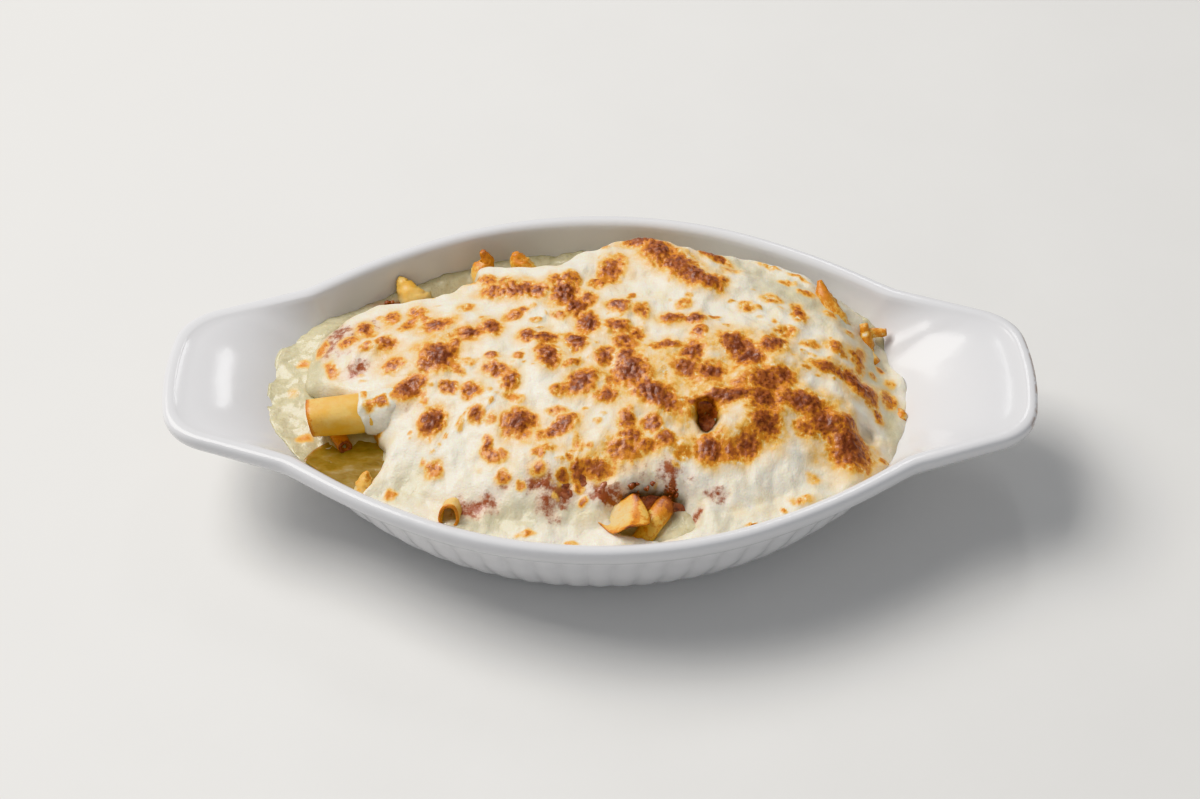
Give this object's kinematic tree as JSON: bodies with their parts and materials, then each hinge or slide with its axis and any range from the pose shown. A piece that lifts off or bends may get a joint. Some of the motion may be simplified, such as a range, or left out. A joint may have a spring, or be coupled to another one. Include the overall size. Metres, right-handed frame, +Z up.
{
  "type": "baked pasta in gratin dish",
  "caption": "Oval white gratin dish with ear handles, filled with baked tube pasta in cream and meat sauce under a browned melted cheese top.",
  "frame": {"origin": "middle of the dish's foot, on the surface it stands on", "axes": "+X along the dish from ear to ear, +Y away from the side where the open front gap shows, +Z up"},
  "size_m": [0.29, 0.15, 0.0583],
  "materials": {
    "dish_glaze": "white gloss glaze, fluted outside, worn warm brown along the ear's edge",
    "cheese": "melted white cheese, creamy, blistered and browned by the grill",
    "meat_sauce": "chunky red-brown sauce, moist",
    "pasta_cream": "tube pasta in pale cream and melted cheese, moist",
    "pooled_sauce": "thin yellow-brown sauce, glossy and slightly see-through",
    "pasta": "cooked pasta, yellow, toasted to golden brown at its cut ends"
  },
  "bodies": {
    "root": {"gratin_dish": "dish_glaze", "pasta_bed": "pasta_cream", "sauce_layer": "meat_sauce", "melted_cheese": "cheese", "pooled_sauce": "pooled_sauce", "penne_left_front": "pasta", "penne_left_under": "pasta", "penne_tip_left": "pasta", "penne_end_front": "pasta", "noodle_front_open": "pasta", "noodle_front_back": "pasta", "penne_back_left": "pasta", "penne_back_middle": "pasta", "penne_corner_back": "pasta", "penne_right_back": "pasta"}
  },
  "joints": []
}
